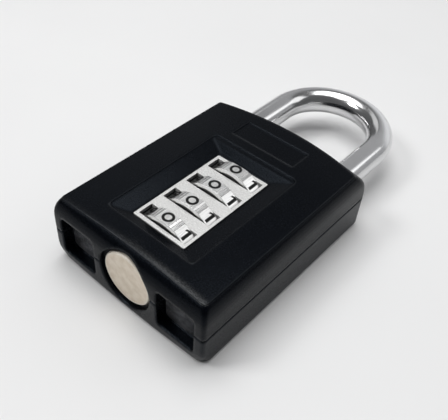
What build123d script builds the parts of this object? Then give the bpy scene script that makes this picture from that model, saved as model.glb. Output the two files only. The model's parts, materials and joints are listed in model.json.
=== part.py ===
from build123d import *
import math
import os

# Four-dial combination padlock lying on its back.
# Millimetres: +Z out of the front face, +Y towards the shackle, +X to the lock's own right.

# Driving sizes
WIDTH = 50.0
LENGTH = 67.0
THICKNESS = 20.0
SHACKLE_DIAMETER = 8.0
LEG_SPACING = 32.9
LEG_RISE = 16.1
DIAL_PITCH = 8.15
DIAL_APOTHEM = 9.45
DIALS = 4
FACETS = 10

# Clearances
FIT = 0.02
RUNNING = 0.08
CLEAR = 0.3
SEAT = 0.2

# Case outline and heights
PARTING_Z = THICKNESS / 2
AXIS_RISE = 1.0
AXIS_Z = PARTING_Z + AXIS_RISE
RIM_BOWS = (-0.1, 1.4)
RIM_CORNERS = (0.9, 1.8)
BACK_BOWS = (0.7, 1.4)
BACK_CORNERS = (3.0, 1.8)
CREASE_BOWS = (-1.0, 3.4)
CREASE_CORNERS = (1.1, 1.1)
CAVITY_BOWS = (0.7, 3.4)
CAVITY_CORNERS = (2.0, 2.0)
WALL = 2.0
FOOT_WALL = 4.6
HEAD_WALL = 4.0
BACK_EDGE = 1.0
BACK_RISE = 5.5
BACK_STEPS = 3
PARTING_GROOVE = 0.5
PARTING_GAP = 0.45
RIM_LIP = 0.8
RIM_Z = PARTING_Z + RIM_LIP
SHOULDER_RISE = 4.6
SHOULDER_Z = PARTING_Z + SHOULDER_RISE
PANEL_STEP = 0.3
PANEL_INSET = 0.15
CREASE_Z = THICKNESS - PANEL_STEP
SHOULDER_SIDE = 1.5
SHOULDER_FOOT = 2.5
SHOULDER_HEAD = 3.8
SHOULDER_SWEEP = 62.0
SHOULDER_STEPS = 5
HEAD_SWEEP = 40.0

# Bezel plate and the hollow round it
PLATE_THICKNESS = 1.0
PLATE_DROP = 1.4
PLATE_TOP = THICKNESS - PLATE_DROP
PLATE_BOTTOM = PLATE_TOP - PLATE_THICKNESS
PLATE_WIDTH = 16.7
PLATE_CENTRE_Y = -6.84
PLATE_MARGIN = 3.25
PLATE_LENGTH = (DIALS - 1) * DIAL_PITCH + 2 * PLATE_MARGIN
PLATE_FOOT = PLATE_CENTRE_Y - PLATE_LENGTH / 2
PLATE_HEAD = PLATE_CENTRE_Y + PLATE_LENGTH / 2
SLOT_WIDTH = 4.3
HOLLOW_WIDTH = 27.5
HOLLOW_FOOT = 3.1
HOLLOW_HEAD = 5.1
HOLLOW_STEP = 0.25
HOLLOW_CORNER = 1.5
WALL_HEAD_LOW = 1.2
WALL_HEAD_HIGH = 3.6

# Plain sunk label panel above the dials
LABEL_WIDTH = 20.6
LABEL_HEIGHT = 7.2
LABEL_CENTRE = (-0.8, 20.9)
LABEL_DEPTH = 0.25

# Dials, code sleeves and the finned spindle
DIAL_WIDTH = SLOT_WIDTH - 2 * CLEAR
DIAL_REACH = DIAL_APOTHEM + 0.25
GRIP_RIDGES = 3
GRIP_ANGLE = 5.4
GRIP_DEPTH = 0.35
SLEEVE_RADIUS = 5.6
SLEEVE_LENGTH = DIAL_PITCH - CLEAR
SPINDLE_RADIUS = 2.2
FIN_LENGTH = 1.6
FIN_WIDTH = 1.6
FIN_REACH = 3.35
FREE_LENGTH = FIN_LENGTH + 1.0
GATE_REACH = FIN_REACH + 0.15
GATE_WIDTH = FIN_WIDTH + CLEAR
FREE_RADIUS = FIN_REACH + 0.35
KEY_WIDTH = 1.2
KEY_RISE = 0.5
LIFT = DIAL_PITCH
FIRST_DIAL_Y = PLATE_CENTRE_Y - DIAL_PITCH * (DIALS - 1) / 2
LAST_DIAL_Y = FIRST_DIAL_Y + DIAL_PITCH * (DIALS - 1)
DIAL_YS = [FIRST_DIAL_Y + DIAL_PITCH * number for number in range(DIALS)]
GROOVE_RADIUS = DIAL_REACH + CLEAR
GROOVE_WIDTH = DIAL_WIDTH + 2 * CLEAR
STACK_LOW = FIRST_DIAL_Y - SLEEVE_LENGTH / 2 - CLEAR
STACK_HIGH = LAST_DIAL_Y + SLEEVE_LENGTH / 2 + CLEAR

# Guide bush, cross bar and clip
BUSH_RADIUS = 4.6
BUSH_LENGTH = 2.3
BUSH_LOW = STACK_HIGH + SEAT
BAR_LOW = BUSH_LOW + BUSH_LENGTH + 0.5
BAR_THICKNESS = 3.0
BAR_HALF_HEIGHT = 2.1
FORK_HALF_HEIGHT = 4.2
FORK_LENGTH = 4.0
HUB_RADIUS = 3.0
NECK_RADIUS = 1.6
CLIP_RADIUS = 2.8
CLIP_THICKNESS = 0.5
CLIP_GROOVE_RADIUS = 1.2
NECK_END = 0.7
BAR_HIGH = BAR_LOW + BAR_THICKNESS
CLIP_LOW = BAR_HIGH + 0.1
NECK_TOP = CLIP_LOW + CLIP_THICKNESS + NECK_END

# Shackle
SHACKLE_RADIUS = SHACKLE_DIAMETER / 2
SHACKLE_DROP = 0.7
SHACKLE_Z = AXIS_Z - SHACKLE_DROP
CROWN_CENTRE_Y = LENGTH / 2 + LEG_RISE
HEEL_X = -LEG_SPACING / 2
TOE_X = LEG_SPACING / 2
HEEL_LENGTH = 52.3
HEEL_END_Y = LENGTH / 2 - HEEL_LENGTH
HEEL_GROOVE_RADIUS = 2.7
LEG_END_CUT = 0.6
TOE_CLEAR = 1.2
HEAD_AT_LEG_Y = LENGTH / 2 - RIM_BOWS[1] * (LEG_SPACING / WIDTH) ** 2
TOE_END_Y = HEAD_AT_LEG_Y - LIFT + TOE_CLEAR

# Lock body halves, screws and dowel pins
BODY_GAP = 0.2
BODY_BOTTOM = WALL + BODY_GAP
BODY_TOP = PLATE_BOTTOM
CAVITY_TOP = BODY_TOP + BODY_GAP
SCREW_X = 9.2
SCREW_RADIUS = 0.9
SCREW_HEAD_RADIUS = 1.7
SCREW_HEAD = 1.4
SCREW_BITE = 4.0
SCREW_TOP = AXIS_Z + SCREW_BITE
SCREW_YS = [(DIAL_YS[0] + DIAL_YS[1]) / 2, (DIAL_YS[2] + DIAL_YS[3]) / 2]
SCREW_PLACES = [(side * SCREW_X, y) for side in (-1, 1) for y in SCREW_YS]
PIN_RADIUS = 1.0
PIN_BITE = 0.9
PIN_GRIP = 2.6
PIN_FROM_SIDE = 5.5
PIN_FROM_FOOT = 8.5
PIN_FOOT = (WIDTH / 2 - PIN_FROM_SIDE, -LENGTH / 2 + PIN_FROM_FOOT)
PIN_HEAD = (LEG_SPACING / 4, NECK_TOP)
PIN_PLACES = [(side * x, y) for side in (-1, 1) for x, y in (PIN_FOOT, PIN_HEAD)]

# Detent leaves beside the dials
LEAF_THICKNESS = 0.4
LEAF_WIDTH = 2.8
LEAF_HALF_HEIGHT = 4.2
LEAF_BOW = 1.7
LEAF_FACE_X = DIAL_REACH + SEAT
LEAF_POCKET_X = LEAF_FACE_X + LEAF_BOW + LEAF_THICKNESS + CLEAR

# Foot end: closing plug in its counterbore, and two pockets
PLUG_RADIUS = 7.5
PLUG_RECESS = 0.8
PLUG_FACE = 1.6
PLUG_LEDGE = 0.8
PLUG_FLANGE_RADIUS = PLUG_RADIUS + PLUG_LEDGE
PLUG_OUTER_Y = -LENGTH / 2 + PLUG_RECESS
PLUG_STEP_Y = PLUG_OUTER_Y + PLUG_FACE
PLUG_INNER_Y = -LENGTH / 2 + FOOT_WALL + BODY_GAP - SEAT
PLUG_EDGE = 0.25
RING_RADIUS = 8.4
RING_DEPTH = 1.6
POCKET_INNER_X = 10.4
POCKET_OUTER_X = 22.2
POCKET_LOW_Z = 3.4
POCKET_HIGH_Z = 15.3
POCKET_DEPTH = 3.3
POCKET_CORNER = 1.5
BEYOND = 4.0


def across(y):
    """Plane facing -Y at the given y, with local axes X and Z."""
    return Plane.XZ.offset(-y)


def part_way(start, end, shares):
    """Foot and head values part of the way from one pair to another."""
    return [first + (last - first) * share for first, last, share in zip(start, end, shares)]


def case_outline(height, insets, bows=RIM_BOWS, corners=RIM_CORNERS):
    """Plan outline of the case at a height, drawn in by its side, foot and head insets."""
    side, foot, head = insets
    half = WIDTH / 2 - side
    low = -LENGTH / 2 + foot
    high = LENGTH / 2 - head
    with BuildSketch(Plane.XY.offset(height)) as outline:
        with BuildLine():
            foot_arc = ThreePointArc((-half, low + bows[0]), (0, low), (half, low + bows[0]))
            head_arc = ThreePointArc((half, high - bows[1]), (0, high), (-half, high - bows[1]))
            Line(foot_arc @ 1, head_arc @ 0)
            Line(head_arc @ 1, foot_arc @ 0)
        make_face()
        fillet(outline.vertices().group_by(Axis.Y)[0], corners[0])
        fillet(outline.vertices().group_by(Axis.Y)[-1], corners[1])
    return outline.sketch


def shoulder_share(height, start, sweep):
    """How far a rounded shoulder has drawn in: 0 up to its start, 1 at the crease."""
    end = math.radians(sweep)
    rise = max(0, (height - start) / (CREASE_Z - start))
    turn = math.asin(rise * math.sin(end))
    return (1 - math.cos(turn)) / (1 - math.cos(end))


def shoulder_outline(height):
    """Outline of the front cover: the head slopes in from its rim, the sides and foot further up."""
    edge = shoulder_share(height, SHOULDER_Z, SHOULDER_SWEEP)
    head = shoulder_share(height, RIM_Z, HEAD_SWEEP)
    insets = (SHOULDER_SIDE * edge, SHOULDER_FOOT * edge, SHOULDER_HEAD * head)
    bows = part_way(RIM_BOWS, CREASE_BOWS, (edge, head))
    corners = part_way(RIM_CORNERS, CREASE_CORNERS, (edge, head))
    return case_outline(height, insets, bows, corners)


def bore(x, radius, y_low, y_high, mode=Mode.SUBTRACT, height=AXIS_Z):
    """Round bore or rod along Y, at the height of the dial axis unless another is given."""
    with BuildSketch(across(y_high)) as circle:
        with Locations((x, height)):
            Circle(radius)
    extrude(circle.sketch, amount=y_high - y_low, mode=mode)


def block(x_low, x_high, y_low, y_high, z_low, z_high, mode=Mode.SUBTRACT):
    """Square-edged block or slot between the given bounds."""
    with BuildSketch(Plane.XY.offset(z_low)) as face:
        with Locations(((x_low + x_high) / 2, (y_low + y_high) / 2)):
            Rectangle(x_high - x_low, y_high - y_low)
    extrude(face.sketch, amount=z_high - z_low, mode=mode)


def posts(places, radius, z_low, z_high, mode=Mode.SUBTRACT):
    """Upright round holes or posts at several places."""
    with BuildSketch(Plane.XY.offset(z_low)) as circles:
        with Locations(*places):
            Circle(radius)
    extrude(circles.sketch, amount=z_high - z_low, mode=mode)


def cut_cover_ends():
    """Openings both covers share: counterbore and hole of the plug, foot pockets and shackle holes."""
    foot_y = -LENGTH / 2
    with BuildSketch(across(foot_y + RING_DEPTH)) as counterbore:
        with Locations((0, PARTING_Z)):
            Circle(RING_RADIUS)
    extrude(counterbore.sketch, amount=BEYOND, mode=Mode.SUBTRACT)
    with BuildSketch(across(PLUG_STEP_Y - FIT)) as face_hole:
        with Locations((0, PARTING_Z)):
            Circle(PLUG_RADIUS + RUNNING)
    extrude(face_hole.sketch, amount=BEYOND, mode=Mode.SUBTRACT)
    with BuildSketch(across(foot_y + FOOT_WALL + SEAT)) as flange_hole:
        with Locations((0, PARTING_Z)):
            Circle(PLUG_FLANGE_RADIUS + RUNNING)
    extrude(flange_hole.sketch, amount=foot_y + FOOT_WALL + SEAT - PLUG_STEP_Y + FIT, mode=Mode.SUBTRACT)
    hole_start = LENGTH / 2 - HEAD_WALL - CAVITY_BOWS[1]
    for side in (-1, 1):
        with BuildSketch(across(foot_y + POCKET_DEPTH)) as pocket:
            with Locations((side * (POCKET_INNER_X + POCKET_OUTER_X) / 2, (POCKET_LOW_Z + POCKET_HIGH_Z) / 2)):
                RectangleRounded(POCKET_OUTER_X - POCKET_INNER_X, POCKET_HIGH_Z - POCKET_LOW_Z, POCKET_CORNER)
        extrude(pocket.sketch, amount=BEYOND, mode=Mode.SUBTRACT)
        bore(side * LEG_SPACING / 2, SHACKLE_RADIUS + CLEAR, hole_start, LENGTH / 2 + BEYOND, height=SHACKLE_Z)


def cut_works():
    """Spaces both lock body halves share, cut round the dial axis and the shackle legs."""
    for y in DIAL_YS:
        bore(0, GROOVE_RADIUS, y - GROOVE_WIDTH / 2, y + GROOVE_WIDTH / 2)
        block(LEAF_FACE_X - CLEAR, LEAF_POCKET_X, y - LEAF_WIDTH / 2 - SEAT, y + LEAF_WIDTH / 2 + SEAT,
              AXIS_Z - LEAF_HALF_HEIGHT - SEAT, AXIS_Z + LEAF_HALF_HEIGHT + SEAT)
    bore(0, SLEEVE_RADIUS + RUNNING, STACK_LOW, STACK_HIGH)
    bore(0, BUSH_RADIUS + FIT, STACK_HIGH, BAR_LOW)
    bore(0, CLIP_RADIUS + CLEAR, BAR_HIGH, NECK_TOP + LIFT + CLEAR)
    slot_high = BAR_HIGH + LIFT + CLEAR
    block(HEEL_X, HUB_RADIUS + CLEAR, BAR_LOW - CLEAR, slot_high,
          AXIS_Z - HUB_RADIUS - CLEAR, AXIS_Z + HUB_RADIUS + CLEAR)
    block(HEEL_X - FORK_LENGTH - CLEAR, HEEL_X + FORK_LENGTH + CLEAR, BAR_LOW - CLEAR, slot_high,
          SHACKLE_Z - FORK_HALF_HEIGHT - CLEAR, SHACKLE_Z + FORK_HALF_HEIGHT + CLEAR)
    bore(HEEL_X, SHACKLE_RADIUS + RUNNING, HEEL_END_Y - CLEAR, LENGTH / 2, height=SHACKLE_Z)
    bore(TOE_X, SHACKLE_RADIUS + RUNNING, TOE_END_Y - CLEAR, LENGTH / 2, height=SHACKLE_Z)


def save(piece, name):
    """Names a finished piece and writes it out."""
    piece.label = name
    export_step(piece, "parts/" + name + ".step")


os.makedirs("parts", exist_ok=True)

# Front cover: moulded shell with a rounded shoulder, a flat face panel and the hollow for the dials
shoulder = [shoulder_outline(RIM_Z), shoulder_outline((RIM_Z + SHOULDER_Z) / 2)]
for step in range(SHOULDER_STEPS + 1):
    turn = math.radians(SHOULDER_SWEEP) * step / SHOULDER_STEPS
    rise = (CREASE_Z - SHOULDER_Z) * math.sin(turn) / math.sin(math.radians(SHOULDER_SWEEP))
    shoulder.append(shoulder_outline(SHOULDER_Z + rise))
panel_insets = [inset + PANEL_INSET for inset in (SHOULDER_SIDE, SHOULDER_FOOT, SHOULDER_HEAD)]
panel_corners = [corner - PANEL_INSET for corner in CREASE_CORNERS]
cavity_insets = (WALL, FOOT_WALL, HEAD_WALL)

with BuildPart() as front_cover:
    groove_corners = [corner - PARTING_GROOVE for corner in RIM_CORNERS]
    groove_insets = (PARTING_GROOVE, PARTING_GROOVE, PARTING_GROOVE)
    extrude(case_outline(PARTING_Z, groove_insets, RIM_BOWS, groove_corners), amount=PARTING_GAP)
    extrude(shoulder_outline(PARTING_Z + PARTING_GAP), amount=RIM_LIP - PARTING_GAP)
    loft(shoulder, ruled=True)
    extrude(case_outline(CREASE_Z, panel_insets, CREASE_BOWS, panel_corners), amount=PANEL_STEP)
    cavity = case_outline(PARTING_Z, cavity_insets, CAVITY_BOWS, CAVITY_CORNERS)
    extrude(cavity, amount=CAVITY_TOP - PARTING_Z, mode=Mode.SUBTRACT)
    block(-PLATE_WIDTH / 2 - SEAT, PLATE_WIDTH / 2 + SEAT, PLATE_FOOT - SEAT, PLATE_HEAD + SEAT,
          CAVITY_TOP - BODY_GAP, THICKNESS + BEYOND)
    with BuildSketch(Plane.XY.offset(PLATE_TOP - BODY_GAP / 2)) as hollow_floor:
        with Locations((0, PLATE_CENTRE_Y + (WALL_HEAD_LOW - SEAT) / 2)):
            Rectangle(PLATE_WIDTH + 2 * SEAT, PLATE_LENGTH + WALL_HEAD_LOW + SEAT)
    with BuildSketch(Plane.XY.offset(THICKNESS - HOLLOW_STEP)) as hollow_rim:
        with Locations((0, PLATE_CENTRE_Y + (WALL_HEAD_HIGH - HOLLOW_FOOT) / 2)):
            Rectangle(HOLLOW_WIDTH, PLATE_LENGTH + WALL_HEAD_HIGH + HOLLOW_FOOT)
    loft([hollow_floor.sketch, hollow_rim.sketch], mode=Mode.SUBTRACT)
    with BuildSketch(Plane.XY.offset(THICKNESS - HOLLOW_STEP)) as hollow_edge:
        with Locations((0, PLATE_CENTRE_Y + (HOLLOW_HEAD - HOLLOW_FOOT) / 2)):
            RectangleRounded(HOLLOW_WIDTH, PLATE_LENGTH + HOLLOW_HEAD + HOLLOW_FOOT, HOLLOW_CORNER)
    extrude(hollow_edge.sketch, amount=BEYOND, mode=Mode.SUBTRACT)
    with BuildSketch(Plane.XY.offset(THICKNESS - LABEL_DEPTH)) as label:
        with Locations(LABEL_CENTRE):
            Rectangle(LABEL_WIDTH, LABEL_HEIGHT)
    extrude(label.sketch, amount=BEYOND, mode=Mode.SUBTRACT)
    cut_cover_ends()
    posts(PIN_PLACES, PIN_RADIUS + FIT, CAVITY_TOP - BODY_GAP, CAVITY_TOP + PIN_BITE + FIT)
save(front_cover.part, "front_cover")

# Back cover: moulded tray, rounder towards its back, with a trough that clears the dials
tray = []
for step in range(BACK_STEPS):
    turn = math.radians(90) * (1 - step / BACK_STEPS)
    inset = BACK_EDGE * (1 - math.cos(turn))
    corners = [corner - inset for corner in BACK_CORNERS]
    tray.append(case_outline(BACK_EDGE * (1 - math.sin(turn)), (inset, inset, inset), BACK_BOWS, corners))
for step in range(BACK_STEPS + 1):
    height = BACK_EDGE + (BACK_RISE - BACK_EDGE) * step / BACK_STEPS
    roundness = [(1 - step / BACK_STEPS) ** 2] * 2
    bows = part_way(RIM_BOWS, BACK_BOWS, roundness)
    corners = part_way(RIM_CORNERS, BACK_CORNERS, roundness)
    tray.append(case_outline(height, (0, 0, 0), bows, corners))

with BuildPart() as back_cover:
    loft(tray, ruled=True)
    extrude(case_outline(BACK_RISE, (0, 0, 0)), amount=PARTING_Z - BACK_RISE)
    cavity = case_outline(WALL, cavity_insets, CAVITY_BOWS, CAVITY_CORNERS)
    extrude(cavity, amount=PARTING_Z, mode=Mode.SUBTRACT)
    bore(0, GROOVE_RADIUS, STACK_LOW, STACK_HIGH)
    cut_cover_ends()
    posts(PIN_PLACES, PIN_RADIUS + FIT, WALL - PIN_BITE - FIT, WALL + BODY_GAP)
save(back_cover.part, "back_cover")

# Lock body: two castings that meet on the dial axis and carry every moving piece
body_insets = [inset + BODY_GAP for inset in cavity_insets]

with BuildPart() as body_back:
    outline = case_outline(BODY_BOTTOM, body_insets, CAVITY_BOWS, CAVITY_CORNERS)
    extrude(outline, amount=AXIS_Z - BODY_BOTTOM)
    cut_works()
    posts(PIN_PLACES, PIN_RADIUS + RUNNING, 0, BODY_BOTTOM + PIN_GRIP + SEAT)
    posts(SCREW_PLACES, SCREW_HEAD_RADIUS + SEAT, 0, BODY_BOTTOM + SCREW_HEAD + BODY_GAP)
    posts(SCREW_PLACES, SCREW_RADIUS + RUNNING, 0, AXIS_Z)
save(body_back.part, "body_back")

with BuildPart() as body_front:
    outline = case_outline(AXIS_Z, body_insets, CAVITY_BOWS, CAVITY_CORNERS)
    extrude(outline, amount=BODY_TOP - AXIS_Z)
    cut_works()
    posts(PIN_PLACES, PIN_RADIUS + RUNNING, BODY_TOP - PIN_GRIP - SEAT, THICKNESS)
    posts(SCREW_PLACES, SCREW_RADIUS + FIT, AXIS_Z, SCREW_TOP + CLEAR)
save(body_front.part, "body_front")

# Screws that hold the two castings together, and dowel pins that hold each cover on its casting
with BuildPart() as body_screws:
    head_top = BODY_BOTTOM + BODY_GAP + SCREW_HEAD
    posts(SCREW_PLACES, SCREW_HEAD_RADIUS, BODY_BOTTOM + BODY_GAP, head_top, Mode.ADD)
    posts(SCREW_PLACES, SCREW_RADIUS, head_top, SCREW_TOP, Mode.ADD)
save(body_screws.part, "body_screws")

with BuildPart() as cover_pins:
    posts(PIN_PLACES, PIN_RADIUS, WALL - PIN_BITE, BODY_BOTTOM + PIN_GRIP, Mode.ADD)
    posts(PIN_PLACES, PIN_RADIUS, BODY_TOP - PIN_GRIP, CAVITY_TOP + PIN_BITE, Mode.ADD)
save(cover_pins.part, "cover_pins")

# Bezel plate with one slot for each dial
with BuildPart() as dial_bezel:
    with BuildSketch(Plane.XY.offset(PLATE_BOTTOM)) as plate:
        with Locations((0, PLATE_CENTRE_Y)):
            RectangleRounded(PLATE_WIDTH, PLATE_LENGTH, CLEAR)
        slot_length = 2 * math.sqrt(GROOVE_RADIUS**2 - (PLATE_BOTTOM - AXIS_Z) ** 2)
        with Locations(*[(0, y) for y in DIAL_YS]):
            Rectangle(slot_length, SLOT_WIDTH, mode=Mode.SUBTRACT)
    extrude(amount=PLATE_THICKNESS)
save(dial_bezel.part, "dial_bezel")

# Closing plug in the foot end, trapped behind the covers by its flange
with BuildPart() as end_plug:
    with BuildSketch(across(PLUG_INNER_Y)) as flange:
        with Locations((0, PARTING_Z)):
            Circle(PLUG_FLANGE_RADIUS)
    extrude(flange.sketch, amount=PLUG_INNER_Y - PLUG_STEP_Y)
    with BuildSketch(across(PLUG_STEP_Y)) as disc:
        with Locations((0, PARTING_Z)):
            Circle(PLUG_RADIUS)
    extrude(disc.sketch, amount=PLUG_FACE)
    chamfer(end_plug.faces().sort_by(Axis.Y)[0].outer_wire().edges(), PLUG_EDGE)
save(end_plug.part, "end_plug")

# Guide bush: keyed brass bush that steadies the spindle above the dials
with BuildPart() as guide_bush:
    with BuildSketch(across(BUSH_LOW + BUSH_LENGTH)) as bush:
        with Locations((0, AXIS_Z)):
            Circle(BUSH_RADIUS)
            Circle(SPINDLE_RADIUS + RUNNING, mode=Mode.SUBTRACT)
        with Locations((0, AXIS_Z + GATE_REACH / 2)):
            Rectangle(GATE_WIDTH, GATE_REACH, mode=Mode.SUBTRACT)
    extrude(amount=BUSH_LENGTH)
save(guide_bush.part, "guide_bush")

# Detent leaves: one bowed strip pressing on the rim of each dial
with BuildPart() as detent_leaves:
    for dial_y in DIAL_YS:
        with BuildSketch(across(dial_y + LEAF_WIDTH / 2)) as leaf:
            end_x = LEAF_FACE_X + LEAF_BOW
            with BuildLine():
                near = ThreePointArc((end_x, AXIS_Z + LEAF_HALF_HEIGHT), (LEAF_FACE_X, AXIS_Z),
                                     (end_x, AXIS_Z - LEAF_HALF_HEIGHT))
                far = ThreePointArc((end_x + LEAF_THICKNESS, AXIS_Z - LEAF_HALF_HEIGHT),
                                    (LEAF_FACE_X + LEAF_THICKNESS, AXIS_Z),
                                    (end_x + LEAF_THICKNESS, AXIS_Z + LEAF_HALF_HEIGHT))
                Line(near @ 1, far @ 0)
                Line(far @ 1, near @ 0)
            make_face()
        extrude(leaf.sketch, amount=LEAF_WIDTH)
save(detent_leaves.part, "detent_leaves")

# Dials and code sleeves: the sleeve's gate lets a spindle fin through at one position only
for number, dial_y in enumerate(DIAL_YS, start=1):
    with BuildPart() as dial:
        with BuildSketch(across(dial_y + DIAL_WIDTH / 2)) as ring:
            with Locations((0, AXIS_Z)):
                RegularPolygon(DIAL_APOTHEM, FACETS, major_radius=False, rotation=90 - 180 / FACETS)
                Circle(DIAL_REACH, mode=Mode.INTERSECT)
                Circle(SLEEVE_RADIUS + FIT, mode=Mode.SUBTRACT)
            for groove in range(GRIP_RIDGES):
                groove_angle = 90 - 180 / FACETS + GRIP_ANGLE * (groove - (GRIP_RIDGES - 1) / 2)
                with Locations((0, AXIS_Z)):
                    with PolarLocations(DIAL_REACH + GRIP_DEPTH / 2, FACETS, start_angle=groove_angle):
                        RegularPolygon(GRIP_DEPTH, 4, mode=Mode.SUBTRACT)
            with Locations((0, AXIS_Z - SLEEVE_RADIUS)):
                Rectangle(KEY_WIDTH + 2 * FIT, 2 * (KEY_RISE + FIT), mode=Mode.SUBTRACT)
        extrude(amount=DIAL_WIDTH)
    save(dial.part, "dial_" + str(number))

    with BuildPart() as sleeve:
        bore(0, SLEEVE_RADIUS, dial_y - SLEEVE_LENGTH / 2, dial_y + SLEEVE_LENGTH / 2, Mode.ADD)
        block(-KEY_WIDTH / 2, KEY_WIDTH / 2, dial_y - DIAL_WIDTH / 2, dial_y + DIAL_WIDTH / 2,
              AXIS_Z - SLEEVE_RADIUS - KEY_RISE, AXIS_Z - SLEEVE_RADIUS + KEY_RISE, Mode.ADD)
        bore(0, SPINDLE_RADIUS + RUNNING, dial_y - SLEEVE_LENGTH / 2, dial_y + SLEEVE_LENGTH / 2)
        bore(0, FREE_RADIUS, dial_y - SLEEVE_LENGTH / 2, dial_y - SLEEVE_LENGTH / 2 + FREE_LENGTH)
        block(-GATE_WIDTH / 2, GATE_WIDTH / 2, dial_y - SLEEVE_LENGTH / 2, dial_y + SLEEVE_LENGTH / 2,
              AXIS_Z, AXIS_Z + GATE_REACH)
    save(sleeve.part, "code_sleeve_" + str(number))

# Spindle: rod with a fin in the free space of each sleeve and a neck for the cross bar
with BuildPart() as spindle:
    bore(0, SPINDLE_RADIUS, STACK_LOW + CLEAR, BAR_LOW, Mode.ADD)
    bore(0, NECK_RADIUS, BAR_LOW, NECK_TOP, Mode.ADD)
    for dial_y in DIAL_YS:
        fin_centre = dial_y - SLEEVE_LENGTH / 2 + FREE_LENGTH / 2
        block(-FIN_WIDTH / 2, FIN_WIDTH / 2, fin_centre - FIN_LENGTH / 2, fin_centre + FIN_LENGTH / 2,
              AXIS_Z, AXIS_Z + FIN_REACH, Mode.ADD)
    with BuildSketch(across(CLIP_LOW + CLIP_THICKNESS + FIT)) as clip_groove:
        with Locations((0, AXIS_Z)):
            Circle(NECK_RADIUS)
            Circle(CLIP_GROOVE_RADIUS, mode=Mode.SUBTRACT)
    extrude(clip_groove.sketch, amount=CLIP_THICKNESS + 2 * FIT, mode=Mode.SUBTRACT)
save(spindle.part, "spindle")

with BuildPart() as spindle_clip:
    with BuildSketch(across(CLIP_LOW + CLIP_THICKNESS)) as clip:
        with Locations((0, AXIS_Z)):
            Circle(CLIP_RADIUS)
            Circle(CLIP_GROOVE_RADIUS + FIT, mode=Mode.SUBTRACT)
        with Locations((0, AXIS_Z - CLIP_RADIUS / 2)):
            Rectangle(2 * CLIP_GROOVE_RADIUS, CLIP_RADIUS, mode=Mode.SUBTRACT)
    extrude(amount=CLIP_THICKNESS)
save(spindle_clip.part, "spindle_clip")

# Cross bar: plate that hangs the spindle from the forked groove in the heel leg
with BuildPart() as cross_bar:
    with BuildSketch(across(BAR_HIGH)) as bar:
        with Locations((0, AXIS_Z)):
            Circle(HUB_RADIUS)
        with Locations((HEEL_X / 2, AXIS_Z)):
            Rectangle(-HEEL_X, 2 * BAR_HALF_HEIGHT)
        with Locations((HEEL_X, SHACKLE_Z)):
            RectangleRounded(2 * FORK_LENGTH, 2 * FORK_HALF_HEIGHT, CLEAR)
            Circle(HEEL_GROOVE_RADIUS + RUNNING, mode=Mode.SUBTRACT)
        with Locations((HEEL_X - FORK_LENGTH / 2, SHACKLE_Z)):
            Rectangle(FORK_LENGTH, 2 * (HEEL_GROOVE_RADIUS + RUNNING), mode=Mode.SUBTRACT)
        with Locations((0, AXIS_Z)):
            Circle(NECK_RADIUS + FIT, mode=Mode.SUBTRACT)
    extrude(amount=BAR_THICKNESS)
save(cross_bar.part, "cross_bar")

# Shackle: round bar bent to a half circle, long heel leg and short toe leg
with BuildPart() as shackle:
    with BuildLine(Plane.XY.offset(SHACKLE_Z)) as bend:
        heel = Line((HEEL_X, HEEL_END_Y), (HEEL_X, CROWN_CENTRE_Y))
        crown = ThreePointArc(heel @ 1, (0, CROWN_CENTRE_Y + LEG_SPACING / 2), (TOE_X, CROWN_CENTRE_Y))
        Line(crown @ 1, (TOE_X, TOE_END_Y))
    with BuildSketch(Plane(origin=(HEEL_X, HEEL_END_Y, SHACKLE_Z), z_dir=(0, 1, 0))) as rod:
        Circle(SHACKLE_RADIUS)
    sweep()
    leg_ends = shackle.faces().filter_by(GeomType.PLANE)
    chamfer(leg_ends.edges(), LEG_END_CUT)
    with BuildSketch(across(BAR_HIGH + SEAT / 2)) as heel_groove:
        with Locations((HEEL_X, SHACKLE_Z)):
            Circle(SHACKLE_RADIUS + CLEAR)
            Circle(HEEL_GROOVE_RADIUS, mode=Mode.SUBTRACT)
    extrude(heel_groove.sketch, amount=BAR_THICKNESS + SEAT, mode=Mode.SUBTRACT)
save(shackle.part, "shackle")
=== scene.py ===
import bmesh
import bpy
import json
import math
from mathutils import Matrix, Vector


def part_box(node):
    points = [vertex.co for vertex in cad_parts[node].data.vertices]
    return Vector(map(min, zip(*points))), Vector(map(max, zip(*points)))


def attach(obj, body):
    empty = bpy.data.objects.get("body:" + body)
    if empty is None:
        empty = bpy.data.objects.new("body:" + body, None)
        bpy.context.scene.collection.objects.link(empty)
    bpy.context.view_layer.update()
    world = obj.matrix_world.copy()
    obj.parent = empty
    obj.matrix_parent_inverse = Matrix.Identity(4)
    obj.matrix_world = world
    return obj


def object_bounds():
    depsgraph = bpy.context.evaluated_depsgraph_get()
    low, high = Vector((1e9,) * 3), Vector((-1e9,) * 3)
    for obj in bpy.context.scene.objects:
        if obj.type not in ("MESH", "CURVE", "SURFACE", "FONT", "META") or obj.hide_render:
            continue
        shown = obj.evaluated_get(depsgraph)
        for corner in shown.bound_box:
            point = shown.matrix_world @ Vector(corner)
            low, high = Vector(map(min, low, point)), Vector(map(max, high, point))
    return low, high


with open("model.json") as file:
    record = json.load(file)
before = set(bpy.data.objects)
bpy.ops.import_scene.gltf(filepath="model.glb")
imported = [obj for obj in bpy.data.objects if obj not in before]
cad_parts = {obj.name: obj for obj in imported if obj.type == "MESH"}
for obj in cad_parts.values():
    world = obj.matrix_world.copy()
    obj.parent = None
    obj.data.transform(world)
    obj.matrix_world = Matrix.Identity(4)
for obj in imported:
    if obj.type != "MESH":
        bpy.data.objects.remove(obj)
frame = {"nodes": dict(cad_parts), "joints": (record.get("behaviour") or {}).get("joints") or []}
cad_low, cad_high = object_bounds()
MM = 0.001


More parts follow.
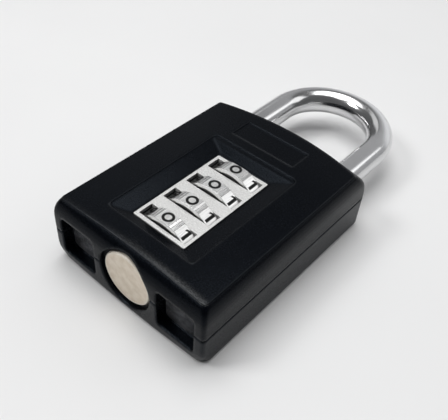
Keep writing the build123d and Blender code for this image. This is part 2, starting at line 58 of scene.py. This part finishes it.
# Back cover: a shallow tray moulded in black ABS, spark-textured in the tool, its outward
# edges lighter from rubbing and from a painted highlight. Dowel pins hold it on the castings inside.
class Socket:
    """One output of a node. Arithmetic on it adds Math nodes to the same finish."""

    def __init__(self, finish, output):
        self.finish = finish
        self.output = output

    def _math(self, operation, *values):
        links = dict(enumerate(values))
        return self.finish.node("ShaderNodeMath", {"operation": operation}, links)

    def __add__(self, other):
        return self._math("ADD", self, other)

    def __radd__(self, other):
        return self._math("ADD", other, self)

    def __sub__(self, other):
        return self._math("SUBTRACT", self, other)

    def __rsub__(self, other):
        return self._math("SUBTRACT", other, self)

    def __mul__(self, other):
        return self._math("MULTIPLY", self, other)

    def __rmul__(self, other):
        return self._math("MULTIPLY", other, self)

    def between(self, low, high):
        """Goes from 0 at low to 1 at high and stays within them."""
        settings = {"interpolation_type": "SMOOTHSTEP"}
        links = {"Value": self, "From Min": low, "From Max": high}
        return self.finish.node("ShaderNodeMapRange", settings, links)


class Finish:
    """A material, or the surround, made of nodes in front of one shader."""

    def __init__(self, name, kind=bpy.data.materials, shader="Principled BSDF"):
        self.made = kind.new(name)
        self.made.use_nodes = True
        self.tree = self.made.node_tree
        self.shader = self.tree.nodes[shader]
        self.place = self.node("ShaderNodeTexCoord", output="Object")

    def node(self, kind, settings=None, links=None, output=0):
        """Adds a node: its settings first, then the values or links of its sockets."""
        made = self.tree.nodes.new(kind)
        for key, value in (settings or {}).items():
            setattr(made, key, value)
        for key, value in (links or {}).items():
            self.join(made.inputs[key], value)
        return Socket(self, made.outputs[output])

    def join(self, target, value):
        """Links a socket to a target, or sets the target's own value."""
        if isinstance(value, Socket):
            self.tree.links.new(value.output, target)
        else:
            target.default_value = value

    def noise(self, grain, detail, stretch=(1, 1, 1)):
        """Noise whose features are about grain metres across, drawn out along an axis by stretch."""
        links = {"Vector": self.place, "Scale": tuple(1 / (grain * s) for s in stretch)}
        scaled = self.node("ShaderNodeMapping", {"vector_type": "POINT"}, links)
        values = {"Vector": scaled, "Scale": 1.0, "Detail": detail, "Roughness": 0.5}
        return self.node("ShaderNodeTexNoise", {}, values)

    def blend(self, share, first, second):
        """Colour that goes from first to second with share."""
        return self.node("ShaderNodeMix", {"data_type": "RGBA"}, {0: share, 6: first, 7: second}, 2)

    def edges(self, reach):
        """Normal rounded over sharp edges, and a mask that is 1 on them."""
        soft = self.node("ShaderNodeBevel", {"samples": 6}, {"Radius": reach})
        true = self.node("ShaderNodeNewGeometry", output="Normal")
        along = self.node("ShaderNodeVectorMath", {"operation": "DOT_PRODUCT"}, {0: soft, 1: true}, "Value")
        return soft, (1 - along).between(0.01, 0.12)

    def ridges(self, reach):
        """Mask that is 1 on outward edges and 0 on flat faces and inward corners."""
        settings = {"inside": True, "only_local": True, "samples": 6}
        open_share = self.node("ShaderNodeAmbientOcclusion", settings, {"Distance": reach}, "AO")
        return (1 - open_share).between(0.1, 0.45)

    def part(self, vector, axis):
        """One axis of a vector."""
        return self.node("ShaderNodeSeparateXYZ", {}, {0: vector}, axis)

    def facing(self, axis):
        """One axis of the direction that the surface faces."""
        return self.part(self.node("ShaderNodeNewGeometry", output="True Normal"), axis)

    def relief(self, height, depth, strength, normal=None):
        """Bump of the given depth in metres."""
        links = {"Height": height, "Distance": depth, "Strength": strength}
        if normal is not None:
            links["Normal"] = normal
        return self.node("ShaderNodeBump", {}, links)

    def reach(self, point):
        """Distance from the line along Y through a point."""
        offset = self.node("ShaderNodeVectorMath", {"operation": "SUBTRACT"}, {0: self.place, 1: point})
        flat = self.node("ShaderNodeVectorMath", {"operation": "MULTIPLY"}, {0: offset, 1: (1, 0, 1)})
        return self.node("ShaderNodeVectorMath", {"operation": "LENGTH"}, {0: flat}, "Value")

    def surface(self, **sockets):
        """Sets or links the shader's sockets; underscores stand for spaces."""
        for key, value in sockets.items():
            self.join(self.shader.inputs[key.replace("_", " ")], value)
        return self.made


def rgb(red, green, blue):
    """Opaque linear colour."""
    return (red, green, blue, 1.0)


def dress(finish, *nodes):
    """Gives CAD nodes a finish."""
    for name in nodes:
        mesh = frame["nodes"][name].data
        mesh.materials.clear()
        mesh.materials.append(finish)


COVER_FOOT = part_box("back_cover")[0].y
FACE_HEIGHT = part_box("front_cover")[1].z
PLUG_CENTRE = (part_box("end_plug")[0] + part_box("end_plug")[1]) / 2
PLUG_BOSS = (9.5 * MM, 10.0 * MM)
POCKET_START = (2.0 * MM, 2.4 * MM)
POCKET_END = (5.0 * MM, 6.0 * MM)
# Extent of the painted highlight along the foot edge of the face.
HIGHLIGHT_ROLL = 3.0 * MM
HIGHLIGHT_END = (7 * MM, 8 * MM)
HIGHLIGHT_SPREAD = (-12 * MM, 14 * MM)
FACE_DEPTH = (1.5 * MM, 2.0 * MM)
BACK_GLOSS = 0.15
ABS_DARK = rgb(0.0006, 0.0009, 0.0016)
ABS_LIGHT = rgb(0.0018, 0.0024, 0.0040)
ABS_SCUFFED = rgb(0.008, 0.008, 0.009)
# Outward edges: rubbing wear and a painted highlight along the creases.
ABS_RUBBED_AND_LIT = rgb(0.026, 0.028, 0.031)
# Colour of the painted highlight along the foot edge of the face.
ABS_FOOT_HIGHLIGHT = rgb(0.130, 0.130, 0.128)
# Painted light: a grey that lightens the floors of the pockets in the foot end.
POCKET_PAINTED_LIGHT = rgb(0.105, 0.107, 0.114)


def pocket_dust(finish, inward):
    """Mask of the streaky painted light on the floors of the two pockets in the foot end."""
    deep = inward.between(*POCKET_START) * (1 - inward.between(*POCKET_END))
    footward = (-1 * finish.facing("Y")).between(0.8, 0.95)
    beside_plug = finish.reach(PLUG_CENTRE).between(*PLUG_BOSS)
    streaks = finish.noise(2.2 * MM, 4.0, (1.6, 1, 1)).between(0.32, 0.68)
    return deep * footward * beside_plug * (0.35 + 0.65 * streaks)


def foot_edge_wear(finish, inward):
    """Mask of the painted highlight where the face rolls over to the foot end, strongest on the right."""
    rolled = finish.node("ShaderNodeBevel", {"samples": 8}, {"Radius": HIGHLIGHT_ROLL})
    foot_edge = (-1 * finish.part(rolled, "Y")).between(0.02, 0.40) * (1 - inward.between(*HIGHLIGHT_END))
    right_end = finish.part(finish.place, "X").between(*HIGHLIGHT_SPREAD)
    below_face = (FACE_HEIGHT - finish.part(finish.place, "Z")).between(*FACE_DEPTH)
    on_face = finish.facing("Z").between(0.93, 0.98) * (1 - below_face)
    return foot_edge * on_face * (0.12 + 0.88 * right_end)


def moulded_black(name, gloss):
    """Black ABS with a spark texture, rubbed edges that also carry a painted highlight, a painted highlight
    along the foot edge and painted light on the pocket floors.
    """
    finish = Finish(name)
    spark = finish.noise(0.34 * MM, 3.0)
    patches = finish.noise(9 * MM, 3.0)
    scuffs = finish.noise(0.5 * MM, 2.0, (1, 14, 1)).between(0.62, 0.75)
    soft, edge = finish.edges(1.1 * MM)
    inward = finish.part(finish.place, "Y") - COVER_FOOT
    grain = finish.blend(spark.between(0.3, 0.7), ABS_DARK, ABS_LIGHT)
    scuffed = finish.blend(scuffs * 0.2, grain, ABS_SCUFFED)
    # Outward edges lightened: partly rubbing wear, partly a painted highlight.
    rubbed_and_lit = finish.blend(finish.ridges(0.5 * MM) * 0.6, scuffed, ABS_RUBBED_AND_LIT)
    # Painted highlight where the face rolls over to the foot end, grainy with the spark texture.
    foot_lit = finish.blend(foot_edge_wear(finish, inward) * spark.between(0.2, 0.75), rubbed_and_lit, ABS_FOOT_HIGHLIGHT)
    return finish.surface(
        # Pocket floors lightened with painted light.
        Base_Color=finish.blend(pocket_dust(finish, inward), foot_lit, POCKET_PAINTED_LIGHT),
        Roughness=0.20 + 0.05 * patches + 0.08 * spark - 0.04 * edge,
        Normal=finish.relief(spark, 0.03 * MM, 0.8, soft),
        Specular_IOR_Level=gloss,
        Specular_Tint=rgb(0.70, 0.83, 1.0),
    )


dress(moulded_black("moulded_black_back", BACK_GLOSS), "back_cover")


# Lock body: two zinc castings that meet on the dial axis. They are left as cast, with a
# grainy skin and cold-flow patches, a painted highlight on the edges and painted shade
# round the dial grooves. Four screws pull them together from the back.
joint_of = {joint["child"]: joint for joint in frame["joints"]}
DIAL_AXIS = joint_of["dial_set_1"]["pos_m"]
# Painted shade round the dial grooves of the castings and inside the dials: dark grey, not metallic.
GROOVE_SHADE_REACH = (10.1 * MM, 10.4 * MM)
GROOVE_SHADE = rgb(0.016, 0.016, 0.017)


def cast_zinc():
    """Dull grey zinc as it comes from the die, with a painted highlight on its edges and painted shade
    round the dials.
    """
    finish = Finish("cast_zinc")
    skin = finish.noise(0.3 * MM, 4.0)
    flow = finish.noise(5 * MM, 3.0, (1, 2.5, 1))
    soft, edge = finish.edges(0.3 * MM)
    tone = finish.blend(flow, rgb(0.40, 0.40, 0.41), rgb(0.52, 0.52, 0.53))
    # Edges painted lighter: a painted highlight.
    bright = finish.blend(edge * 0.5, tone, rgb(0.62, 0.62, 0.63))
    along = finish.facing("Y")
    # Painted shade in the dial grooves, left off the walls that face along the axis.
    outside = finish.reach(DIAL_AXIS).between(*GROOVE_SHADE_REACH)
    groove_shaded = (1 - outside) * (1 - (along * along).between(0.5, 0.8))
    return finish.surface(
        Base_Color=finish.blend(groove_shaded, bright, GROOVE_SHADE),
        Roughness=0.46 + 0.14 * skin,
        Normal=finish.relief(skin, 0.02 * MM, 0.4, soft),
        Metallic=0.9 - 0.9 * groove_shaded,
    )


dress(cast_zinc(), "body_back", "body_front")


# Screws, dowel pins, detent leaves, cross bar and clip: bright steel, drawn or stamped,
# so the surface has fine lines along the stock.
def bright_steel():
    """Bright drawn steel with fine lines and a little uneven oil film."""
    finish = Finish("bright_steel")
    lines = finish.noise(0.12 * MM, 2.0, (1, 1, 20))
    film = finish.noise(2.5 * MM, 3.0)
    return finish.surface(
        Base_Color=finish.blend(film, rgb(0.50, 0.50, 0.51), rgb(0.62, 0.62, 0.62)),
        Roughness=0.20 + 0.14 * lines + 0.08 * film,
        Normal=finish.relief(lines, 0.006 * MM, 0.3),
        Metallic=1.0,
    )


dress(bright_steel(), "body_screws", "cover_pins", "detent_leaves", "cross_bar", "spindle_clip")


# Code sleeves, spindle and guide bush: free-turning brass, left with the fine rings of
# the lathe tool. Each sleeve is keyed into its dial and has one gate for the spindle's fin.
def turned_brass():
    """Brass with tool rings round the dial axis and a slight tarnish."""
    finish = Finish("turned_brass")
    rings = finish.noise(0.09 * MM, 1.0, (40, 1, 40))
    tarnish = finish.noise(3 * MM, 3.0)
    return finish.surface(
        Base_Color=finish.blend(tarnish, rgb(0.60, 0.42, 0.17), rgb(0.76, 0.56, 0.26)),
        Roughness=0.20 + 0.16 * rings + 0.06 * tarnish,
        Normal=finish.relief(rings, 0.008 * MM, 0.35),
        Metallic=1.0,
    )


SLEEVES = ["code_sleeve_1", "code_sleeve_2", "code_sleeve_3", "code_sleeve_4"]
dress(turned_brass(), *SLEEVES, "spindle", "guide_bush")


# Dials: ten-sided rings of bright-plated zinc. Flat facets carry the numbers and fine
# ridges between them give the finger grip. Each turns with its sleeve on the dial axis.
# Radius inside which the dials carry painted shade in place of plating.
DIAL_SHADE_REACH = (8.3 * MM, 8.7 * MM)


def dial_plating():
    """Satin plating with handling haze and fine lines across the facets, a painted highlight on the edges
    and painted shade inside the facets.
    """
    finish = Finish("dial_plating")
    haze = finish.noise(1.6 * MM, 3.0)
    lines = finish.noise(0.16 * MM, 1.0, (1, 24, 1))
    soft, edge = finish.edges(0.12 * MM)
    tone = finish.blend(lines.between(0.3, 0.7), rgb(0.66, 0.66, 0.66), rgb(0.86, 0.86, 0.85))
    # Edges painted lighter: a painted highlight.
    plated_edge_lit = finish.blend(edge * 0.5, tone, rgb(0.92, 0.92, 0.92))
    # Painted shade: dark and not metallic inside the facets.
    unshaded = finish.reach(DIAL_AXIS).between(*DIAL_SHADE_REACH)
    return finish.surface(
        Base_Color=finish.blend(unshaded, GROOVE_SHADE, plated_edge_lit),
        Roughness=0.22 + 0.08 * haze + 0.06 * lines,
        Normal=finish.relief(lines, 0.006 * MM, 0.3, soft),
        Metallic=unshaded,
    )


DIALS = ["dial_1", "dial_2", "dial_3", "dial_4"]
dress(dial_plating(), *DIALS)


# Dial numbers: black paint pad-printed on the facets, 0 to 9 round each dial. The number
# in the middle of the window reads upright with the shackle at the top.
def black_print():
    """Thin black paint, slightly uneven."""
    finish = Finish("black_print")
    film = finish.noise(0.25 * MM, 3.0)
    return finish.surface(
        Base_Color=finish.blend(film, rgb(0.003, 0.003, 0.003), rgb(0.008, 0.008, 0.008)),
        Roughness=0.34 + 0.16 * film,
        Specular_IOR_Level=0.2,
    )


FACETS = 10
NUMBER_HEIGHT = 3.2 * MM
NUMBER_WIDEN = 1.42
NUMBER_BOLD = 0.10 * MM
NUMBER_SHIFT = 0.2 * MM
ZERO_WIDTH = 3.3 * MM
ZERO_STROKE = 0.72 * MM
ONE_STEM = 0.85 * MM
ONE_FLAG = 0.75 * MM
ONE_FLAG_DROP = 1.1 * MM
ONE_FLAG_DEPTH = 0.6 * MM
PRINT_THICKNESS = 0.02 * MM
FONT_SIZE = 1.4 * NUMBER_HEIGHT
OVAL_STEPS = 48
CURVE_STEPS = 6
print_black = black_print()


def oval(wide, tall):
    """Points round an ellipse."""
    angles = [2 * math.pi * step / OVAL_STEPS for step in range(OVAL_STEPS)]
    return [(wide / 2 * math.cos(angle), tall / 2 * math.sin(angle)) for angle in angles]


def drawn_number(*loops):
    """Flat filled curve with closed outlines; a loop inside another is a hole."""
    curve = bpy.data.curves.new("number", "CURVE")
    curve.dimensions = "2D"
    curve.fill_mode = "BOTH"
    for loop in loops:
        spline = curve.splines.new("POLY")
        spline.points.add(len(loop) - 1)
        spline.use_cyclic_u = True
        for point, (x, y) in zip(spline.points, loop):
            point.co = (x, y, 0, 1)
    curve.extrude = PRINT_THICKNESS
    return curve


def lettered_number(text):
    """Flat filled text of one number, made a little bolder."""
    curve = bpy.data.curves.new("number", "FONT")
    curve.body = text
    curve.size = FONT_SIZE
    curve.offset = NUMBER_BOLD
    curve.extrude = PRINT_THICKNESS
    return curve


def number_mesh(curve, widen):
    """Mesh of one number, centred on the origin and lying in the XY plane."""
    curve.resolution_u = CURVE_STEPS
    holder = bpy.data.objects.new("number", curve)
    bpy.context.scene.collection.objects.link(holder)
    bpy.context.view_layer.update()
    evaluated = holder.evaluated_get(bpy.context.evaluated_depsgraph_get())
    mesh = bpy.data.meshes.new_from_object(evaluated)
    bpy.data.objects.remove(holder)
    bpy.data.curves.remove(curve)
    low = Vector([min(v.co[axis] for v in mesh.vertices) for axis in range(3)])
    high = Vector([max(v.co[axis] for v in mesh.vertices) for axis in range(3)])
    scale = NUMBER_HEIGHT / (high.y - low.y)
    mesh.transform(Matrix.Translation(-(low + high) / 2))
    mesh.transform(Matrix.Diagonal((scale * widen, scale, 1, 1)))
    return mesh


zero = drawn_number(
    oval(ZERO_WIDTH, NUMBER_HEIGHT),
    oval(ZERO_WIDTH - 2 * ZERO_STROKE, NUMBER_HEIGHT - 2 * ZERO_STROKE),
)
one = drawn_number([
    (0, 0),
    (ONE_STEM, 0),
    (ONE_STEM, NUMBER_HEIGHT),
    (0, NUMBER_HEIGHT),
    (-ONE_FLAG, NUMBER_HEIGHT - ONE_FLAG_DROP + ONE_FLAG_DEPTH),
    (-ONE_FLAG, NUMBER_HEIGHT - ONE_FLAG_DROP),
    (0, NUMBER_HEIGHT - ONE_FLAG_DEPTH),
])
number_shapes = [number_mesh(zero, 1.0), number_mesh(one, 1.0)]
for digit in range(2, FACETS):
    number_shapes.append(number_mesh(lettered_number(str(digit)), NUMBER_WIDEN))

for dial_name in DIALS:
    dial_body = "dial_set_" + dial_name[-1]
    low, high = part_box(dial_name)
    axis_point = Vector(joint_of[dial_body]["pos_m"])
    facet_reach = high.z - axis_point.z
    printed = bmesh.new()
    for digit, shape in enumerate(number_shapes):
        turned = Matrix.Rotation(digit * 2 * math.pi / FACETS, 4, "Y")
        lifted = Matrix.Translation((0, 0, facet_reach))
        copy = shape.copy()
        middle = Matrix.Translation((0, (low.y + high.y) / 2 + NUMBER_SHIFT, axis_point.z))
        copy.transform(middle @ turned @ lifted)
        printed.from_mesh(copy)
        bpy.data.meshes.remove(copy)
    numbers_mesh = bpy.data.meshes.new(dial_name + "_numbers")
    printed.to_mesh(numbers_mesh)
    printed.free()
    numbers_mesh.materials.append(print_black)
    numbers = bpy.data.objects.new(dial_name + "_numbers", numbers_mesh)
    bpy.context.scene.collection.objects.link(numbers)
    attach(numbers, dial_body)


# Shackle: round steel bar bent hot to a half circle, ground, polished and chrome plated.
# The short toe leg locks in the body; the long heel leg stays in its bore.
def shackle_plating():
    """Polished chrome with faint lengthwise polishing lines and handling smears."""
    finish = Finish("shackle_plating")
    smears = finish.noise(4 * MM, 3.0)
    lines = finish.noise(0.2 * MM, 2.0, (1, 18, 1))
    return finish.surface(
        Base_Color=finish.blend(smears, rgb(0.62, 0.62, 0.63), rgb(0.72, 0.72, 0.72)),
        Roughness=0.12 + 0.08 * smears + 0.04 * lines,
        Normal=finish.relief(lines, 0.006 * MM, 0.2),
        Metallic=1.0,
    )


dress(shackle_plating(), "shackle")


# Bezel plate: pressed from sheet, bead-blasted and plated satin silver, with a painted
# highlight on its edges. The end walls of its punched slots carry painted shade. It lies on the castings
# under the front cover.
def satin_silver():
    """Pale bead-blasted metal with a fine sparkle, a painted highlight on the edges and painted shade on
    the end walls of the slots.
    """
    finish = Finish("satin_silver")
    beads = finish.noise(0.3 * MM, 3.0)
    shade = finish.noise(3 * MM, 2.0)
    soft, edge = finish.edges(0.15 * MM)
    tone = finish.blend(beads.between(0.3, 0.7), rgb(0.50, 0.50, 0.49), rgb(0.78, 0.78, 0.77))
    # Edges painted lighter: a painted highlight.
    plated_edge_lit = finish.blend(edge * 0.6, tone, rgb(0.95, 0.95, 0.94))
    # Painted shade: walls facing along X, the slot ends, go dark and less metallic.
    sideways = finish.facing("X")
    bright = 1 - (sideways * sideways).between(0.4, 0.6)
    return finish.surface(
        Base_Color=finish.blend(bright, rgb(0.012, 0.012, 0.013), plated_edge_lit),
        Roughness=0.40 + 0.12 * beads + 0.05 * shade,
        Normal=finish.relief(beads, 0.02 * MM, 0.4, soft),
        Metallic=0.4 * bright,
    )


dress(satin_silver(), "dial_bezel")


# Front cover: moulded in the same black ABS as the back but a little duller, with a rounded
# shoulder, a flat face panel, the hollow round the bezel and a plain sunk label panel.
# Dowel pins hold it on the castings.
FRONT_GLOSS = 0.09
dress(moulded_black("moulded_black_front", FRONT_GLOSS), "front_cover")


# Closing plug: a turned metal disc with a champagne satin finish, trapped by its flange
# in the foot end between the two covers.
PLUG_FLANGE = 0.8 * MM
PLUG_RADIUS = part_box("end_plug")[1].x - PLUG_CENTRE.x - PLUG_FLANGE


def champagne_satin():
    """Cream-coloured satin metal, mottled by handling, with a painted highlight round the rim."""
    finish = Finish("champagne_satin")
    # Painted highlight: a lighter ring near the edge of the disc.
    rim_highlight = finish.reach(PLUG_CENTRE).between(PLUG_RADIUS * 0.88, PLUG_RADIUS * 0.96)
    mottle = finish.noise(2.2 * MM, 4.0)
    grain = finish.noise(0.18 * MM, 2.0)
    tone = finish.blend(mottle.between(0.3, 0.7), rgb(0.74, 0.64, 0.51), rgb(0.86, 0.77, 0.65))
    return finish.surface(
        Base_Color=finish.blend(rim_highlight * 0.7, tone, rgb(0.88, 0.83, 0.74)),
        Roughness=0.42 + 0.10 * mottle + 0.06 * grain,
        Normal=finish.relief(mottle * 0.7 + grain * 0.3, 0.03 * MM, 0.4),
        Metallic=0.3,
    )


dress(champagne_satin(), "end_plug")


# Floor: a plain pale table top that fills the view, matt and slightly uneven. The lock lies
# on it with its back down.
def pale_table():
    """Matt off-white with a barely visible unevenness."""
    finish = Finish("pale_table")
    shade = finish.noise(60 * MM, 3.0)
    return finish.surface(
        Base_Color=finish.blend(shade, rgb(0.80, 0.80, 0.80), rgb(0.84, 0.84, 0.84)),
        Roughness=0.55 + 0.1 * shade,
    )


FLOOR_SIZE = 3.0
bpy.ops.mesh.primitive_plane_add(size=FLOOR_SIZE, location=(0, 0, cad_low.z))
table_top = bpy.context.object
table_top.name = "table_top"
table_top.data.materials.append(pale_table())


# Studio light: a dim surround that is brighter behind the shackle than in front of the foot
# end, one large soft panel overhead, and three at the sides for the metal to mirror.
def soft_panel(name, place, size, power):
    """Square light aimed at the middle of the lock."""
    light = bpy.data.lights.new(name, "AREA")
    light.size = size
    light.energy = power
    holder = bpy.data.objects.new(name, light)
    holder.location = place
    aim = Vector((0, 0, cad_high.z / 2)) - Vector(place)
    holder.rotation_euler = aim.to_track_quat("-Z", "Y").to_euler()
    holder.visible_camera = False
    bpy.context.scene.collection.objects.link(holder)


DIM_STRENGTH = 0.12
WALL_STRENGTH = 0.32
WALL_BAND = (0.62, 0.70)
BACKDROP_STRENGTH = 0.5
BACKDROP_BAND = (0.8, 0.95)
surround = Finish("surround", bpy.data.worlds, "Background")
towards_back = surround.part(surround.place, "Y")
bpy.context.scene.world = surround.surface(
    Color=rgb(0.97, 0.98, 1.0),
    Strength=DIM_STRENGTH
    + WALL_STRENGTH * towards_back.between(*WALL_BAND)
    + BACKDROP_STRENGTH * towards_back.between(*BACKDROP_BAND),
)
soft_panel("top_panel", (-0.11, 0.07, 0.80), 0.6, 4.65)
soft_panel("back_panel", (0.42, 0.45, 0.51), 0.4, 0.62)
soft_panel("left_panel", (-0.52, 0.40, 0.48), 0.32, 0.22)
soft_panel("front_panel", (-0.344, -0.384, 0.612), 0.2, 1.7)


# Camera: where the photograph was taken from, close above the right of the foot end, with
# a slight roll. The lens follows from its focal length in pixels of the photograph.
PHOTO_WIDTH = 448
FOCAL_PIXELS = 616.7
CAMERA_PLACE = Vector((72.4, -91.88, 121.9)) * MM
CAMERA_SIDE = math.radians(37.62)
CAMERA_RISE = math.radians(43.73)
CAMERA_ROLL = math.radians(4.89)
lens = bpy.data.cameras.new("camera")
lens.sensor_fit = "HORIZONTAL"
lens.lens = lens.sensor_width * FOCAL_PIXELS / PHOTO_WIDTH
lens.clip_start = 1 * MM
camera = bpy.data.objects.new("camera", lens)
turn = Matrix.Rotation(CAMERA_SIDE, 4, "Z") @ Matrix.Rotation(math.pi / 2 - CAMERA_RISE, 4, "X")
camera.matrix_world = Matrix.Translation(CAMERA_PLACE) @ turn @ Matrix.Rotation(CAMERA_ROLL, 4, "Z")
bpy.context.scene.collection.objects.link(camera)
bpy.context.scene.camera = camera
bpy.context.scene.view_settings.view_transform = "Standard"
